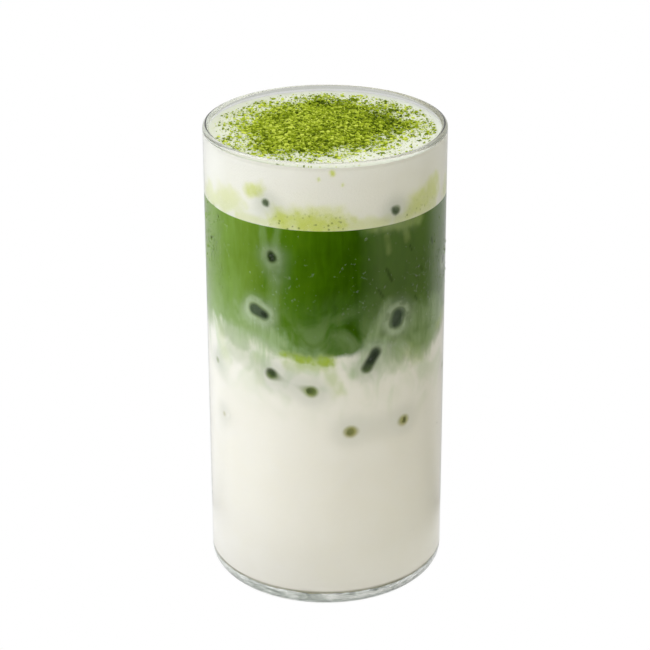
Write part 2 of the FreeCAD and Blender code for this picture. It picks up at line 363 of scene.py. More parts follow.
# ---------------- what shows at the wall
# Soft strokes on the wall: bearing and height of both ends, half width in mm and strength.
VEILS = (  # milk drawn up into the matcha
    (-33, 88, -31, 80, 2.0, 0.6), (-40.5, 96, -40, 92.5, 0.55, 0.95), (-40, 92.5, -37, 90, 0.6, 0.95),
    (-37, 90, -31, 89.2, 0.55, 0.9), (-40.5, 96, -37.5, 97.6, 0.5, 0.8),
    (-37.5, 97.6, -32.5, 97.2, 0.4, 0.6), (-32.5, 97.2, -28.5, 94, 0.4, 0.5),
    (-27, 82, -25, 104, 1.2, 0.25), (-30, 112, -31, 120, 0.8, 0.28), (-24, 112, -23, 120, 0.8, 0.28),
    (14, 76, 21, 84, 1.4, 0.8), (24, 78, 33, 87, 1.2, 0.7), (21, 84, 31, 96, 1.4, 0.5),
    (30, 84, 42, 88, 2.0, 0.4), (30, 80, 40, 84, 4.0, 0.4), (50, 89, 78, 86, 3.5, 0.4),
    (-75, 88, -48, 86, 4.0, 0.3), (-45, 84, -36, 88, 2.5, 0.45), (20, 120, 48, 119, 1.8, 0.12),
    (110, 84, 128, 92, 2.5, 0.6), (150, 80, 170, 86, 3.0, 0.5), (-150, 84, -128, 90, 3.0, 0.6),
    (-100, 84, -92, 100, 1.6, 0.4), (-41, 91, -24, 85, 3.2, 0.7), (-30, 84, -24, 83, 1.8, 0.3),
    (52, 82, 64, 81, 2.5, 0.4), (-15, 83.5, -5, 82.5, 1.6, 0.3), (50, 79, 60, 78, 2.0, 0.35),
)
HAZES = (  # matcha let down into the milk
    (-57, 83, -44, 82, 2.4, 0.5), (-52, 79, -36, 78.5, 2.6, 0.28), (33, 79, 50, 80, 3.0, 0.4),
    (56, 79, 72, 82, 3.0, 0.4), (100, 78, 124, 76, 3.0, 0.6), (-130, 76, -108, 80, 3.0, 0.5),
    (165, 77, -175, 74, 3.0, 0.5),
)
BRIGHTS = (  # thin yellow-green edge of the matcha
    (-21, 82, -12, 80.6, 1.0, 1.0), (-12, 80.6, 2, 80.4, 1.3, 1.0), (-18, 79, 0, 79, 1.6, 0.5),
    (1, 78, 6, 71, 1.5, 0.4), (22, 120, 50, 119, 1.2, 0.36), (30, 117, 31, 112, 0.7, 0.22),
    (41, 118, 42, 114, 0.7, 0.22), (-62, 82, -58, 76, 2.0, 0.25), (44, 79, 52, 76, 2.0, 0.3),
    (-35, 79, -33, 72, 1.2, 0.2), (70, 82, 92, 84, 1.6, 0.5), (130, 80, 150, 82, 1.5, 0.6),
    (-170, 80, -152, 82, 1.4, 0.6),
)
STAINS = (  # matcha drawn up into the foam
    (-74, 122, -48, 125, 3.0, 0.55), (-38, 129, -32, 130.5, 1.6, 0.9), (-21, 122.5, 7, 122, 3.2, 1.0),
    (-20, 125, 6, 125.5, 1.6, 0.6), (8, 121, 30, 121, 1.8, 0.6), (45, 123, 62, 126, 3.0, 0.8),
    (36, 121, 62, 121.5, 1.6, 0.6), (-46, 121, -30, 121, 1.2, 0.5), (80, 122, 100, 125, 3.0, 0.7),
    (118, 121, 150, 121.5, 1.6, 0.8), (165, 124, -168, 122, 3.0, 0.7), (-150, 121.5, -128, 122, 2.0, 0.8),
    (-110, 123, -92, 126, 2.4, 0.6), (3, 137.4, 3.4, 136.8, 0.5, 1.0), (-3, 135.4, -2.8, 135.1, 0.4, 0.9),
    (8, 133.6, 8.2, 133.4, 0.3, 0.8),
)
SHADE_MARKS = (  # painted shade: dark ends of the ice, and small dark spots where condensation drops on the outside look dark
    (-31.5, 93.2, -30, 92.8, 0.7, 0.85), (-26.8, 112, -26, 110.5, 0.7, 0.8),
    (22, 79.5, 24.5, 81.5, 0.7, 0.6), (-27.5, 75.8, -26.5, 75.2, 0.6, 0.6),
    (33, 124.6, 35, 122.9, 0.5, 0.6), (-29, 127.3, -28, 126, 0.4, 0.45), (-8, 71.5, -7.5, 71, 0.4, 0.4),
    (36.5, 90.5, 35, 89, 0.5, 0.35), (30, 107, 33, 103, 0.32, 0.5), (26, 101, 28.5, 98.5, 0.25, 0.4),
    (44, 112, 45, 110.5, 0.22, 0.6), (52, 104, 53, 103, 0.22, 0.5), (61, 111, 62, 109.5, 0.22, 0.5),
    (48, 96, 49, 94.5, 0.22, 0.4),
)
# Depth of the matcha's green by bearing, and how grey it is: partly the matcha's own uneven mixing and
# partly painted light, paler towards the lit left and greyed on the right by a painted reflection.
MATCHA_DEPTH_AND_LIGHT = ((-180, 0.75), (-130, 0.5), (-78, 0.1), (-50, 0.1), (-25, 0.5), (0, 0.85), (15, 1.0),
                (40, 0.8), (65, 0.55), (110, 0.45), (145, 0.8))
MATCHA_GREY_AND_REFLECTION = ((-180, 0.1), (-60, 0.0), (15, 0.0), (26, 0.8), (60, 0.9), (90, 0.5), (140, 0.1))
# The drinks blend over this many mm, and over less in front, round this bearing and this far to its sides.
BLEND = 5.0
BLEND_FRONT = 1.0
FRONT = (-2.0, 24.0)
WAVER = 0.28  # how far a stroke's edge strays, as a share of its half width
WAVER_SIZES = ((1.0, 5 * MM, 11), (0.5, 2 * MM, 12))  # share, size and seed
ICE_NEAR = (-2, 12)  # the distances from ice that the materials tell apart, in mm


def bearings(places):
    """Bearing of each place in degrees."""
    return np.degrees(np.arctan2(places[:, 0], -places[:, 1]))


def stroke(places, line):
    """How strongly one soft stroke covers each place, 0 to 1."""
    start_bearing, start_height, end_bearing, end_height, width, strength = line
    per_degree = math.radians(1) * FILL / MM
    span = (end_bearing - start_bearing + 180) % 360 - 180
    away = (bearings(places) - start_bearing - span / 2 + 180) % 360 - 180 + span / 2
    across, up = away * per_degree, places[:, 2] / MM - start_height
    run, rise = span * per_degree, end_height - start_height
    share = np.clip((across * run + up * rise) / (run**2 + rise**2), 0, 1)
    distance = np.hypot(across - share * run, up - share * rise)
    for part, size, seed in WAVER_SIZES:
        distance += part * WAVER * width * sine_noise(places, size, seed)
    fade = np.clip(1.15 - 0.55 * distance / width, 0, 1)
    return strength * fade**2 * (3 - 2 * fade)


def paint(piece, name, lines):
    """Writes the strongest of some strokes at each vertex."""
    places = coordinates(piece)
    write_values(piece, name, np.max([stroke(places, line) for line in lines], axis=0))


def by_bearing(places, table):
    """A table's value at each place, by bearing."""
    stops, values = zip(*table)
    return np.interp(bearings(places), stops, values, period=360)


def write_marks(piece, cubes):
    """What the materials read at the wall: height over the boundary and how wide it blends, the liquid left
    between the wall and the ice, and the strokes."""
    places = coordinates(piece)
    write_values(piece, "rise", (places[:, 2] - swirl(places[:, 0], places[:, 1])) / MM)
    crisp = np.exp(-(np.abs(bearings(places) - FRONT[0]) / FRONT[1]) ** 4)
    write_values(piece, "softness", BLEND - (BLEND - BLEND_FRONT) * crisp)
    # depth and grey by bearing are partly painted light: paler on the lit left, greyed on the right by a
    # painted reflection
    write_values(piece, "depth", by_bearing(places, MATCHA_DEPTH_AND_LIGHT))
    write_values(piece, "grey", by_bearing(places, MATCHA_GREY_AND_REFLECTION))
    write_values(piece, "height", places[:, 2] / MM)
    gap = np.min([cube.distance(places) for cube in cubes], axis=0)
    write_values(piece, "ice_gap", np.clip(gap / MM, *ICE_NEAR))
    for name, lines in (("veil", VEILS), ("haze", HAZES), ("bright", BRIGHTS), ("stain", STAINS),
                        ("shade_mark", SHADE_MARKS)):
        paint(piece, name, lines)


# ---------------- powder on the foam
CORE_SHARE = 0.82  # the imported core's outline as a share of the heap's
CORE_HEIGHT = 1.15 * MM
CORE_CROWN = (2.2, 0.9)  # exponents of its section, flat in the middle and steep where it ends
BEYOND_HEAP = 0.90  # share of the heap's outline where the foam begins to show between grains
POWDER_MIDDLE = (-1.5 * MM, 2.3 * MM)  # where the sifted powder lies thickest
THINNING = 0.28  # how fast it thins out beyond the heap, as a share of the heap's outline
PATCHES = (9 * MM, 31)  # size and seed of its denser patches
# Damp, dark patches: the middle and reach of each to the right, then to the back, in mm.
DAMP_PATCHES = ((17, 7, 8, 10), (1, 9, 23, 4))
SPRINKLED = 0.16  # most that the foam near the wall is covered
BARE_EDGE = (0.8 * MM, 1.5 * MM)  # bare foam along the wall, and how softly it begins
CORE_SUNK = 0.7 * MM  # how far the core's underside lies in the foam
CORE_DIP = 0.15 * MM  # and how far its skin lies below the foam where it ends
CORE_TURNS = 280
CORE_RINGS = 80
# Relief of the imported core: height in mm, size in mm and seed.
CRUMBS = ((0.18, 1.3, 21), (0.10, 0.6, 22))
CORE_TONE = 0.45  # its middle tone, from 0 for the damp powder to 1 for the palest
CORE_MOTTLE = 0.25  # how far the tone strays from that
CORE_MOTTLES = (1.2 * MM, 23, 30)  # size, seed and number of the waves that it strays by
CORE_DAMPED = 0.35  # how much darker the core is where it is damp
GRAIN_DAMPED = 0.30  # and the grains
GRAIN_TONES = (0.05, 1)
FLATTENED = (1.15, 1.15, 0.7)  # how the grains are pressed as they lie
CHIPPED = (0.6, 1.25)  # how far a grain's corners lie from its middle
STRETCHED = (0.7, 1.3)  # how far a grain is stretched along each of its sides
RAISED = (-0.15, 0.3)  # how high a grain's middle lies over the powder, as a share of its size
LOOSE_TONE = 0.13  # how much paler a grain beyond the heap may be
OCTAHEDRON = np.array([(1, 0, 0), (-1, 0, 0), (0, 1, 0), (0, -1, 0), (0, 0, 1), (0, 0, -1)], float)
GOLD = (1 + math.sqrt(5)) / 2
GOLDEN = [(0, a, b * GOLD) for a in (-1, 1) for b in (-1, 1)]
ICOSAHEDRON = np.array([np.roll(point, turn) for turn in range(3) for point in GOLDEN])
# Loose powder: name, how many, middle size in mm, spread of sizes, form, and how strongly it keeps to
# the heap.
GRAINS = (
    ("powder_clumps", 9600, 0.61, 0.34, ICOSAHEDRON, 1.0),
    ("powder_grains", 23000, 0.27, 0.30, OCTAHEDRON, 0.75),
)


def heap_outline(x, y):
    """Radius of the heap's outline in the direction of each place."""
    return HEAP_RADIUS + HEAP_LOBE * waves(np.arctan2(y, x), HEAP_WAVES)


def powder_cover(x, y):
    """Share of the foam that powder covers at a place, 0 to 1."""
    reach = np.hypot(x, y)
    share = np.hypot(x - POWDER_MIDDLE[0], y - POWDER_MIDDLE[1]) / heap_outline(x, y)
    patchy = 0.5 + 0.5 * sine_noise(np.stack([x, y, 0 * x], -1), *PATCHES)
    thin = np.exp(-np.clip(share - BEYOND_HEAP, 0, None) / THINNING)
    thin = thin * (0.4 + 0.8 * np.clip(patchy, 0, 1.3))
    thin = np.maximum(thin, SPRINKLED * np.clip(patchy - 0.45, 0, 1))
    edge = np.clip((INNER - BARE_EDGE[0] - reach) / BARE_EDGE[1], 0, 1)
    return np.where(share < BEYOND_HEAP, 1.0, np.clip(thin, 0, 1)) * edge


def dampness(x, y):
    """How damp and dark the powder lies at a place, 0 to 1."""
    return np.max([np.exp(-((x / MM - right) / wide) ** 2 - ((y / MM - back) / deep) ** 2)
                   for right, wide, back, deep in DAMP_PATCHES], axis=0)


def core_surface(x, y):
    """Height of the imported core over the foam, zero outside it."""
    share = np.hypot(x, y) / (heap_outline(x, y) * CORE_SHARE)
    flat, steep = CORE_CROWN
    return CORE_HEIGHT * np.clip(1 - share**flat, 0, 1) ** steep


def make_powder_core():
    """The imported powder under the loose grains, with crumbs and hollows as relief."""
    turns = CORE_TURNS
    outline = heap_outline(*ring(1.0, turns)) * CORE_SHARE
    sunk = FOAM_TOP - CORE_SUNK
    rows = [(share * outline, sunk) for share in (0, 0.35, 0.7)]
    for share in np.linspace(1, 0, CORE_RINGS):
        x, y = ring(share * outline, turns)
        places = np.stack([x, y, 0 * x], -1)
        crumbs = sum(tall * sine_noise(places, size * MM, seed, 30) for tall, size, seed in CRUMBS)
        lift = core_surface(x, y) + MM * crumbs * min(1.0, 6 * (1 - share))
        rows.append((share * outline, foam_surface(x, y) - CORE_DIP + lift))
    piece = revolve("powder_core", *zip(*rows), turns=turns)
    places = coordinates(piece)
    damp = dampness(places[:, 0], places[:, 1])
    mottle = CORE_MOTTLE * sine_noise(places, *CORE_MOTTLES)
    write_values(piece, "tone", CORE_TONE + mottle - CORE_DAMPED * damp)
    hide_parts("powder_heap")
    piece.data.materials.append(powder_material("powder_packed"))
    return piece


def hull(points):
    """Triangles of the convex hull of a few points, facing outwards."""
    faces = []
    for trio in itertools.combinations(range(len(points)), 3):
        a, b, c = points[list(trio)]
        side = (points - a) @ np.cross(b - a, c - a)
        if np.all(side <= 1e-9):
            faces.append(trio)
        elif np.all(side >= -1e-9):
            faces.append(trio[::-1])
    return np.array(faces)


def spins(count, draw):
    """Random turns, as matrices."""
    quaternion = draw.normal(size=(count, 4))
    w, x, y, z = (quaternion / np.linalg.norm(quaternion, axis=1, keepdims=True)).T
    rows = ((1 - 2 * (y * y + z * z), 2 * (x * y - z * w), 2 * (x * z + y * w)),
            (2 * (x * y + z * w), 1 - 2 * (x * x + z * z), 2 * (y * z - x * w)),
            (2 * (x * z - y * w), 2 * (y * z + x * w), 1 - 2 * (x * x + y * y)))
    return np.array(rows).transpose(2, 0, 1)


def make_grains(name, count, middle, spread, form, bias, draw):
    """Loose grains as one mesh: each one is the form turned, stretched and chipped at random."""
    x, y = draw.uniform(-INNER, INNER, (2, count * 10))
    lands = draw.uniform(0, 1, count * 10) < powder_cover(x, y) ** bias
    lands &= np.hypot(x, y) < INNER - BARE_EDGE[0]
    x, y = x[lands][:count], y[lands][:count]
    count = len(x)
    size = MM * middle * np.exp(np.clip(draw.normal(0, spread, count), -2 * spread, 2 * spread))
    lie = foam_surface(x, y) + core_surface(x, y) + size * draw.uniform(*RAISED, count)
    corners = len(form)
    unit = form / np.linalg.norm(form[0])
    shape = unit * draw.uniform(*CHIPPED, (count, corners, 1))
    shape = shape * draw.uniform(*STRETCHED, (count, 1, 3))
    shape = np.einsum("nij,nkj->nki", spins(count, draw), shape) * FLATTENED
    vertices = np.stack([x, y, lie], -1)[:, None] + shape * size[:, None, None] / 2
    vertices[..., 2] = np.minimum(vertices[..., 2], RIM)
    faces = hull(unit) + (np.arange(count) * corners)[:, None, None]
    piece = new_object(name, vertices.reshape(-1, 3), faces.reshape(-1, 3), smooth=False)
    tone = draw.uniform(*GRAIN_TONES, count) - GRAIN_DAMPED * dampness(x, y)
    loose = np.clip(np.hypot(x, y) / heap_outline(x, y) - 1, 0, LOOSE_TONE)
    write_values(piece, "tone", np.repeat(tone + loose, corners))
    piece.data.materials.append(powder_material(name + "_look"))
    return piece


# ---------------- condensation on the glass
# Fields of droplets on the outside: the middle's bearing and height, half width in degrees, half height
# in mm, how many, and their middle radius in mm.
MISTS = (
    (-64, 109, 13, 12, 200, 0.26), (-22, 106, 22, 16, 130, 0.20), (16, 98, 24, 20, 140, 0.20),
    (58, 100, 20, 16, 160, 0.24), (0, 45, 70, 32, 60, 0.34), (110, 95, 26, 24, 110, 0.30),
    (165, 100, 26, 22, 110, 0.28), (-125, 95, 30, 24, 120, 0.30), (180, 45, 90, 32, 70, 0.34),
)
# Single drops: bearing, height and radius in mm.
DROPS = (
    (78, 103.5, 0.9), (-5, 44, 0.55), (6, 33, 0.6), (5, 40, 0.45), (-9, 30, 0.5), (28, 102, 0.5),
    (63, 110, 0.5), (-38, 60, 0.5), (40, 47, 0.45), (132, 88, 0.8), (-112, 70, 0.8), (172, 104, 0.7),
    (-158, 58, 0.7),
)
# A drop's rings: share of its radius, and how far out, the first in mm and inside the glass, and the
# others as a share of a swell that is DROP_SWELL times the radius.
DROP_RINGS = ((1.0, -0.04), (1.0, 0.0), (0.93, 0.10), (0.76, 0.19), (0.45, 0.27))
DROP_TOP = 0.30
DROP_SWELL = 1.6
DROP_SIDES = 10
DROP_RUN = 0.25  # how much taller than wide a drop may be
DROP_WOBBLES = ((2, 0.14), (3, 0.08))  # lobes and height of its outline's waves
BOX_MARGIN = 0.02 * MM  # how far a drop's middle stays inside the tumbler's box
LEAST_ROOM = 0.03 * MM  # no drop where the box leaves less than this


def scatter_drops(draw):
    """Bearing, height and radius of every drop."""
    rows = [np.array(DROPS, float)]
    for bearing, height, wide, tall, count, middle in MISTS:
        across = bearing + wide * np.clip(draw.normal(0, 0.5, count), -1, 1)
        up = height + tall * np.clip(draw.normal(0, 0.5, count), -1, 1)
        rows.append(np.stack([across, up, middle * np.exp(draw.normal(0, 0.35, count))], -1))
    return np.concatenate(rows)


def make_drops(draw):
    """Low domes of water with their feet in the glass, flatter where the tumbler's box is near."""
    drops = scatter_drops(draw)
    bearing = np.radians(drops[:, 0])
    to_box = OUTER / np.maximum(np.abs(np.sin(bearing)), np.abs(np.cos(bearing)))
    room = to_box - OUTER - BOX_MARGIN
    fits = room > LEAST_ROOM
    drops, bearing, room = drops[fits], bearing[fits], room[fits]
    size = drops[:, 2, None] * MM
    turn = np.linspace(0, 2 * math.pi, DROP_SIDES, endpoint=False)
    wobble = 1
    for lobes, tall in DROP_WOBBLES:
        wobble = wobble + tall * np.sin(lobes * turn + draw.uniform(0, 6, (len(drops), 1)))
    run = 1 + DROP_RUN * draw.uniform(0, 1, (len(drops), 1))
    rings = []
    for share, out in (*DROP_RINGS, (0.0, DROP_TOP), (0.0, DROP_RINGS[0][1])):
        lift = np.full_like(size, out * MM)
        if out > 0:
            lift = np.minimum(out * size * DROP_SWELL, room[:, None])
        angle = bearing[:, None] + share * wobble * size * np.cos(turn) / OUTER
        reach = np.broadcast_to(OUTER + lift, angle.shape)
        up = drops[:, 1, None] * MM + share * wobble * run * size * np.sin(turn)
        rings.append(np.stack([reach * np.sin(angle), -reach * np.cos(angle), up], -1))
    body = np.stack(rings[:-2], 1).reshape(len(drops), -1, 3)
    vertices = np.concatenate([body, rings[-2][:, :1], rings[-1][:, :1]], 1)
    grid = np.arange(len(DROP_RINGS) * DROP_SIDES).reshape(-1, DROP_SIDES)
    ahead = np.roll(grid, -1, axis=1)
    top, foot = grid.size, grid.size + 1
    sides = np.stack([grid[:-1], ahead[:-1], ahead[1:], grid[1:]], -1).reshape(-1, 4)
    caps = [(top, a, b) for a, b in zip(grid[-1], ahead[-1])]
    caps += [(foot, b, a) for a, b in zip(grid[0], ahead[0])]
    faces = []
    for first in range(0, len(drops) * (top + 2), top + 2):
        faces += (sides + first).tolist() + (np.array(caps) + first).tolist()
    piece = new_object("water_drops", vertices.reshape(-1, 3), faces)
    piece.data.materials.append(water_material())
    return piece


# ---------------- materials
def srgb(red, green, blue):
    """A colour given as it looks on screen, 0 to 255, as the linear colour a shader takes."""
    values = []
    for value in (red, green, blue):
        share = value / 255
        values.append(share / 12.92 if share <= 0.04045 else ((share + 0.055) / 1.055) ** 2.4)
    return (*values, 1.0)


class Nodes:
    """The node tree of a material or world, with short calls for the nodes used here."""

    def __init__(self, owner):
        owner.use_nodes = True
        self.owner = owner
        self.tree = owner.node_tree
        self.surface = self.tree.nodes.get("Principled BSDF")

    def add(self, kind, inputs=None, **settings):
        node = self.tree.nodes.new(kind)
        for key, value in settings.items():
            setattr(node, key, value)
        for key, value in (inputs or {}).items():
            self.plug(node.inputs[key], value)
        return node

    def plug(self, socket, value):
        if isinstance(value, bpy.types.NodeSocket):
            self.tree.links.new(value, socket)
        else:
            socket.default_value = value

    def set(self, **inputs):
        """Values or links for the principled shader's own sockets."""
        for key, value in inputs.items():
            self.plug(self.surface.inputs[key.replace("_", " ")], value)

    def math(self, operation, a, b=0.0, c=0.0):
        return self.add("ShaderNodeMath", {0: a, 1: b, 2: c}, operation=operation).outputs[0]

    def times(self, a, b):
        return self.math("MULTIPLY", a, b)

    def sway(self, noise, width):
        """Noise between 0 and 1 as a number round zero, over that width."""
        return self.math("MULTIPLY_ADD", noise, width, -width / 2)

    def span(self, value, low, high, to_low=0.0, to_high=1.0):
        """value from low..high to to_low..to_high, eased, and held at the ends."""
        inputs = {"Value": value, "From Min": low, "From Max": high, "To Min": to_low, "To Max": to_high}
        node = self.add("ShaderNodeMapRange", inputs, interpolation_type="SMOOTHSTEP")
        return node.outputs["Result"]

    def mix(self, share, a, b):
        node = self.add("ShaderNodeMix", data_type="RGBA")
        sockets = [socket for socket in node.inputs if socket.enabled]
        for socket, value in zip(sockets, (share, a, b)):
            self.plug(socket, value)
        return next(socket for socket in node.outputs if socket.enabled)

    def ramp(self, value, *stops):
        """A colour ramp. Each stop is its place and its colour."""
        node = self.add("ShaderNodeValToRGB", {"Fac": value})
        elements = node.color_ramp.elements
        elements.remove(elements[1])
        elements[0].position, elements[0].color = stops[0]
        for place, colour in stops[1:]:
            elements.new(place).color = colour
        return node.outputs["Color"]

    def value(self, name):
        """A number written on the piece's vertices."""
        return self.add("ShaderNodeAttribute", attribute_name=name).outputs["Fac"]

    def place(self, scale=(1, 1, 1)):
        """The point on the piece in metres, stretched by scale."""
        source = self.add("ShaderNodeTexCoord").outputs["Object"]
        return self.add("ShaderNodeMapping", {"Vector": source, "Scale": scale}).outputs["Vector"]

    def noise(self, vector, size, detail=3.0, roughness=0.5, distortion=0.0):
        """Noise between 0 and 1 with features of about that size in metres."""
        inputs = {"Vector": vector, "Scale": 1 / size, "Detail": detail, "Roughness": roughness,
                  "Distortion": distortion}
        return self.add("ShaderNodeTexNoise", inputs).outputs["Fac"]

    def grey(self, value):
        return self.add("ShaderNodeCombineColor", {0: value, 1: value, 2: value}).outputs[0]

    def cells(self, vector, size):
        """Distance to the middle of the nearest random cell, as a share of a cell."""
        inputs = {"Vector": vector, "Scale": 1 / size}
        return self.add("ShaderNodeTexVoronoi", inputs).outputs["Distance"]

    def bump(self, height, distance, strength):
        inputs = {"Height": height, "Distance": distance, "Strength": strength}
        return self.add("ShaderNodeBump", inputs).outputs["Normal"]


def new_material(name):
    return Nodes(bpy.data.materials.new(name))


WHITE = (1, 1, 1, 1)
# Painted grey shade on the lip, where the wall is seen end-on from above: at the two sides, the back and
# the front.
LIP_SIDE_SHADE = (0.34, 0.36, 0.30, 1)
LIP_BACK_SHADE = (0.62, 0.64, 0.56, 1)
LIP_FRONT_SHADE = (0.98, 0.98, 0.97, 1)
FREE_FRONT_SHADE = (0.90, 0.90, 0.88, 1)  # painted grey shade on the front wall between the foam and the lip
LIP_FROM_RIM = (1.2 * MM, 0.6 * MM)  # the lip's grey starts and is full this far below the rim
LIP_SIDES = (0.70 * OUTER, 0.95 * OUTER)  # where the sides' grey starts and is full
FOOT_FOLDS = 11.0  # height of the foot's folds over the ripples
FOOT_FADE = (3 * MM, 9 * MM)  # they die away between these heights
GLASS_RELIEF = 0.05 * MM


def glass_material():
    """Clear glass, with painted grey shade at the lip and on the front wall above the foam, and a little
    green where it is thick. It has slight ripples from its mould, most near the foot."""
    nodes = new_material("glass_clear")
    ripple = nodes.noise(nodes.place((1, 1, 0.35)), 22 * MM, detail=1.0)
    spot = nodes.add("ShaderNodeSeparateXYZ", {0: nodes.place()}).outputs
    up, away = spot["Z"], spot["Y"]
    lip = nodes.span(up, RIM - LIP_FROM_RIM[0], RIM - LIP_FROM_RIM[1])
    side = nodes.span(nodes.math("ABSOLUTE", spot["X"]), *LIP_SIDES)
    # the lip's painted grey shade: pale at the front, greyer at the back, darkest at the sides
    lip_shade = nodes.mix(nodes.span(away, -0.5 * OUTER, 0.5 * OUTER), LIP_FRONT_SHADE, LIP_BACK_SHADE)
    lip_shade = nodes.mix(side, lip_shade, LIP_SIDE_SHADE)
    # painted grey shade on the front wall just above the foam
    free = nodes.span(up, FOAM_TOP - 0.4 * MM, FOAM_TOP)
    free = nodes.times(free, nodes.span(away, 0.0, -0.8 * OUTER))
    colour = nodes.mix(free, WHITE, FREE_FRONT_SHADE)
    nodes.set(Base_Color=nodes.mix(lip, colour, lip_shade), Roughness=0.0, IOR=1.5)
    nodes.set(Transmission_Weight=1.0)
    foot = nodes.span(up, *FOOT_FADE, 1.0, 0.0)
    folds = nodes.times(nodes.noise(nodes.place((1, 1, 6)), 9 * MM, detail=2.0), foot)
    relief = nodes.math("MULTIPLY_ADD", folds, FOOT_FOLDS, ripple)
    nodes.set(Normal=nodes.bump(relief, GLASS_RELIEF, 0.4))
    body = nodes.add("ShaderNodeVolumeAbsorption", {"Color": (0.58, 0.62, 0.61, 1), "Density": 34.0})
    nodes.plug(nodes.tree.nodes["Material Output"].inputs["Volume"], body.outputs[0])
    return nodes.owner


def water_material():
    """Clear water."""
    nodes = new_material("water_clear")
    nodes.set(Base_Color=WHITE, Roughness=0.0, IOR=1.33, Transmission_Weight=1.0)
    swell = nodes.noise(nodes.place(), 0.5 * MM, detail=1.0)
    nodes.set(Normal=nodes.bump(swell, 0.02 * MM, 0.3))
    return nodes.owner


def ice_material():
    """Clear ice with a faint cloud of frost."""
    nodes = new_material("ice_clear")
    frost = nodes.noise(nodes.place(), 3 * MM)
    nodes.set(Base_Color=srgb(244, 250, 250), IOR=1.31, Transmission_Weight=1.0)
    nodes.set(Roughness=nodes.span(frost, 0.3, 0.8, 0.1, 0.3))
    nodes.set(Normal=nodes.bump(frost, 0.2 * MM, 0.3))
    return nodes.owner


# Painted grey shade round the ice where it comes near the wall.
HALO_SHADE = srgb(176, 184, 172)
HALO_SHADE_REACH = (-0.3, 4.2)  # mm from the ice
HALO_SHADE_STRENGTH = (50.0, 78.0, 0.3, 0.58)  # by height in mm, weaker in the milk
# A pale ring round the ice: partly a film of milk, partly painted light that the ice scatters.
FILM_GLOW = srgb(206, 222, 188)
FILM_GLOW_START = (0.2, 0.45)  # mm from the ice
FILM_GLOW_END = (0.5, 1.5)
CORE_SHADE_EDGE = (-0.12, 0.32)  # mm from the ice
TALL = 140.0  # height in mm that the stops below are shares of
CORE_SHADE = (  # colour of the ice's dark core, by height: the drink behind the ice, in its own colour and in painted shade
    (0.40, srgb(168, 166, 92)), (0.44, srgb(160, 164, 88)), (0.51, srgb(132, 152, 62)),
    (0.535, srgb(92, 114, 46)), (0.57, srgb(58, 74, 42)), (0.64, srgb(98, 114, 90)),
    (0.69, srgb(92, 108, 82)), (0.77, srgb(38, 60, 18)), (0.84, srgb(70, 90, 50)),
    (0.89, srgb(136, 150, 116)),
)


def ice_colours(nodes, colour, film_glow):
    """The drink's colour where ice comes near the wall: a wide halo of painted grey shade; a pale ragged
    ring, partly a film of milk and partly painted light that the ice scatters, as strongly as the last
    argument says; and a small dark core, the drink behind the ice in its own colour and in painted shade."""
    gap = nodes.value("ice_gap")
    height = nodes.value("height")
    halo_shade = nodes.math("POWER", nodes.span(gap, *HALO_SHADE_REACH, 1.0, 0.0), 1.8)
    halo_shade = nodes.times(halo_shade, nodes.span(height, *HALO_SHADE_STRENGTH))
    colour = nodes.mix(halo_shade, colour, nodes.mix(0.35, HALO_SHADE, colour))
    ring = nodes.times(nodes.span(gap, *FILM_GLOW_START), nodes.span(gap, *FILM_GLOW_END, 1.0, 0.0))
    torn = nodes.noise(nodes.place(), 3 * MM)
    ring = nodes.times(ring, nodes.span(torn, 0.35, 0.6, 0.05, 0.45))
    colour = nodes.mix(nodes.times(ring, film_glow), colour, FILM_GLOW)
    core = nodes.ramp(nodes.math("DIVIDE", height, TALL), *CORE_SHADE)
    return nodes.mix(nodes.span(gap, *CORE_SHADE_EDGE, 0.95, 0.0), colour, core)


MILK = srgb(253, 252, 246)
MILK_SHADE = srgb(250, 248, 237)
MIST = srgb(226, 234, 212)  # wisps of matcha in the milk
MATCHA = (  # from the thin drink to the deep one
    (0.0, srgb(142, 176, 84)), (0.25, srgb(122, 156, 56)), (0.55, srgb(90, 132, 18)),
    (0.85, srgb(68, 108, 4)), (1.0, srgb(56, 92, 3)),
)
MATCHA_GREYED = srgb(103, 124, 74)
MURK = srgb(158, 182, 128)  # milk clouding the matcha over their boundary
HAZE = srgb(150, 172, 118)
VEIL = srgb(190, 212, 165)
BRIGHT_EDGE = srgb(196, 212, 136)
BRIGHT = srgb(170, 196, 60)
DARK_SHADE_MARK = srgb(34, 46, 20)
FOOT_SHADE_LINE = srgb(118, 118, 88)  # painted shade on the milk's lowest edge, seen through the bend of the glass
FOOT_SHADE_LINE_END = (4.2, 5.8)  # height in mm
# Painted shade and sheen on the milk's underside, seen through the foot: stops of the sheen, and the
# heights in mm where it ends.
UNDERSIDE_SHADE_AND_SHEEN = ((0.38, srgb(150, 158, 152)), (0.5, srgb(208, 214, 211)), (0.6, srgb(250, 252, 252)))
UNDERSIDE_SHADE_AND_SHEEN_END = (3.42, 3.55)


